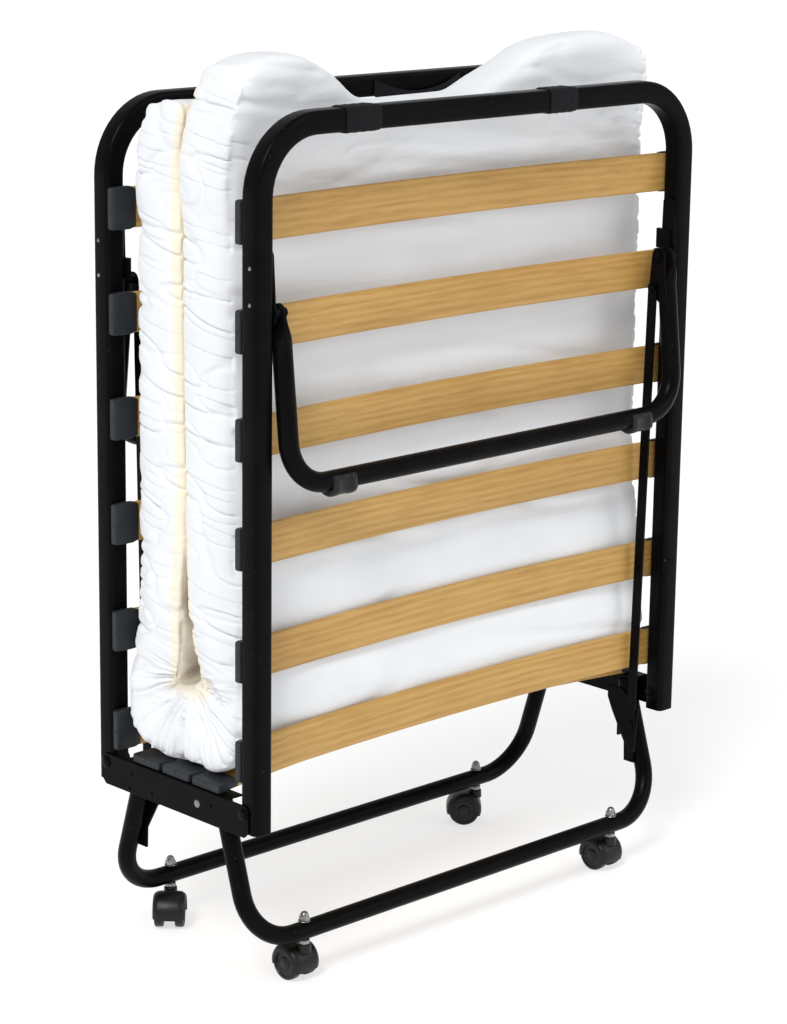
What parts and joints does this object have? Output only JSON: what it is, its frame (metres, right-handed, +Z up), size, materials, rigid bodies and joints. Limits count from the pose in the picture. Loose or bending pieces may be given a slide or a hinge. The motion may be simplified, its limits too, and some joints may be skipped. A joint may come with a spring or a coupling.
{
  "type": "folding cot",
  "caption": "Folding cot standing folded on castors: two slatted half frames hinged to a low centre section, foot legs worked by link bars, mattress doubled between.",
  "frame": {"origin": "on the floor, under the middle of the centre section", "axes": "+Z up, +X across the bed to its right side, +Y from the front half to the rear half"},
  "size_m": [0.8192, 0.3806, 1.2],
  "materials": {
    "frame_paint": "satin black powder coat",
    "slat_beech": "clear satin lacquer on beech veneer",
    "holder_plastic": "matte dark grey moulded plastic",
    "black_plastic": "fine matte moulded plastic",
    "zinc": "bright zinc plate",
    "mattress_cotton": "white woven cover",
    "piping_cream": "cream piping",
    "strap_elastic": "black elastic webbing"
  },
  "bodies": {
    "centre": {"left_side_plate": "frame_paint", "right_side_plate": "frame_paint", "front_castor_leg": "frame_paint", "rear_castor_leg": "frame_paint", "front_link_bracket": "frame_paint", "rear_link_bracket": "frame_paint", "centre_slat_1": "slat_beech", "centre_slat_2": "slat_beech", "centre_slat_3": "slat_beech", "front_left_hinge_pin": "frame_paint", "front_right_hinge_pin": "frame_paint", "rear_left_hinge_pin": "frame_paint", "rear_right_hinge_pin": "frame_paint", "front_left_castor_stem": "zinc", "front_right_castor_stem": "zinc", "rear_left_castor_stem": "zinc", "rear_right_castor_stem": "zinc", "mattress_fold": "mattress_cotton"},
    "front_half": {"front_frame": "frame_paint", "front_slat_1": "slat_beech", "front_slat_2": "slat_beech", "front_slat_3": "slat_beech", "front_slat_4": "slat_beech", "front_slat_5": "slat_beech", "front_slat_6": "slat_beech", "front_left_leg_bracket": "frame_paint", "front_right_leg_bracket": "frame_paint", "front_mattress": "mattress_cotton"},
    "front_foot_leg": {"front_foot_leg": "frame_paint", "front_link_lever": "frame_paint", "front_left_foot_pad": "black_plastic", "front_right_foot_pad": "black_plastic"},
    "front_link": {"front_link": "frame_paint"},
    "rear_half": {"rear_frame": "frame_paint", "rear_slat_1": "slat_beech", "rear_slat_2": "slat_beech", "rear_slat_3": "slat_beech", "rear_slat_4": "slat_beech", "rear_slat_5": "slat_beech", "rear_slat_6": "slat_beech", "rear_left_leg_bracket": "frame_paint", "rear_right_leg_bracket": "frame_paint", "rear_mattress": "mattress_cotton"},
    "rear_foot_leg": {"rear_foot_leg": "frame_paint", "rear_link_lever": "frame_paint", "rear_left_foot_pad": "black_plastic", "rear_right_foot_pad": "black_plastic"},
    "rear_link": {"rear_link": "frame_paint"},
    "front_left_castor": {"front_left_castor_fork": "black_plastic"},
    "front_left_wheels": {"front_left_castor_wheels": "black_plastic"},
    "front_right_castor": {"front_right_castor_fork": "black_plastic"},
    "front_right_wheels": {"front_right_castor_wheels": "black_plastic"},
    "rear_left_castor": {"rear_left_castor_fork": "black_plastic"},
    "rear_left_wheels": {"rear_left_castor_wheels": "black_plastic"},
    "rear_right_castor": {"rear_right_castor_fork": "black_plastic"},
    "rear_right_wheels": {"rear_right_castor_wheels": "black_plastic"}
  },
  "joints": [
    {"name": "front_half_fold", "type": "hinge", "parent": "centre", "child": "front_half", "pos_m": [0, -0.139, 0.256], "axis": [1, 0, 0], "range_deg": [0, 90.5]},
    {"name": "front_foot_leg_swing", "type": "hinge", "parent": "front_half", "child": "front_foot_leg", "pos_m": [0, -0.152, 0.898], "axis": [-1, 0, 0], "range_deg": [0, 90.5]},
    {"name": "front_link_swing", "type": "hinge", "parent": "centre", "child": "front_link", "pos_m": [0, -0.133, 0.211], "axis": [1, 0, 0], "range_deg": [0, 90.5]},
    {"name": "rear_half_fold", "type": "hinge", "parent": "centre", "child": "rear_half", "pos_m": [0, 0.139, 0.256], "axis": [-1, 0, 0], "range_deg": [0, 90.5]},
    {"name": "rear_foot_leg_swing", "type": "hinge", "parent": "rear_half", "child": "rear_foot_leg", "pos_m": [0, 0.152, 0.898], "axis": [1, 0, 0], "range_deg": [0, 90.5]},
    {"name": "rear_link_swing", "type": "hinge", "parent": "centre", "child": "rear_link", "pos_m": [0, 0.133, 0.211], "axis": [-1, 0, 0], "range_deg": [0, 90.5]},
    {"name": "front_left_castor_swivel", "type": "hinge", "parent": "centre", "child": "front_left_castor", "pos_m": [-0.299, -0.137, 0.04], "axis": [0, 0, 1], "continuous": true},
    {"name": "front_left_wheel_spin", "type": "hinge", "parent": "front_left_castor", "child": "front_left_wheels", "pos_m": [-0.299, -0.12, 0.023], "axis": [1, 0, 0], "continuous": true},
    {"name": "front_right_castor_swivel", "type": "hinge", "parent": "centre", "child": "front_right_castor", "pos_m": [0.299, -0.137, 0.04], "axis": [0, 0, 1], "continuous": true},
    {"name": "front_right_wheel_spin", "type": "hinge", "parent": "front_right_castor", "child": "front_right_wheels", "pos_m": [0.299, -0.12, 0.023], "axis": [1, 0, 0], "continuous": true},
    {"name": "rear_left_castor_swivel", "type": "hinge", "parent": "centre", "child": "rear_left_castor", "pos_m": [-0.299, 0.137, 0.04], "axis": [0, 0, 1], "continuous": true},
    {"name": "rear_left_wheel_spin", "type": "hinge", "parent": "rear_left_castor", "child": "rear_left_wheels", "pos_m": [-0.31081, 0.12477, 0.023], "axis": [-0.7193, 0.6947, 0], "continuous": true},
    {"name": "rear_right_castor_swivel", "type": "hinge", "parent": "centre", "child": "rear_right_castor", "pos_m": [0.299, 0.137, 0.04], "axis": [0, 0, 1], "continuous": true},
    {"name": "rear_right_wheel_spin", "type": "hinge", "parent": "rear_right_castor", "child": "rear_right_wheels", "pos_m": [0.28677, 0.14881, 0.023], "axis": [0.6947, 0.7193, 0], "continuous": true}
  ],
  "couplings": [
    {"joint": "front_foot_leg_swing", "follows": "front_half_fold", "ratio": 1},
    {"joint": "front_link_swing", "follows": "front_half_fold", "ratio": 1},
    {"joint": "rear_foot_leg_swing", "follows": "rear_half_fold", "ratio": 1},
    {"joint": "rear_link_swing", "follows": "rear_half_fold", "ratio": 1}
  ]
}
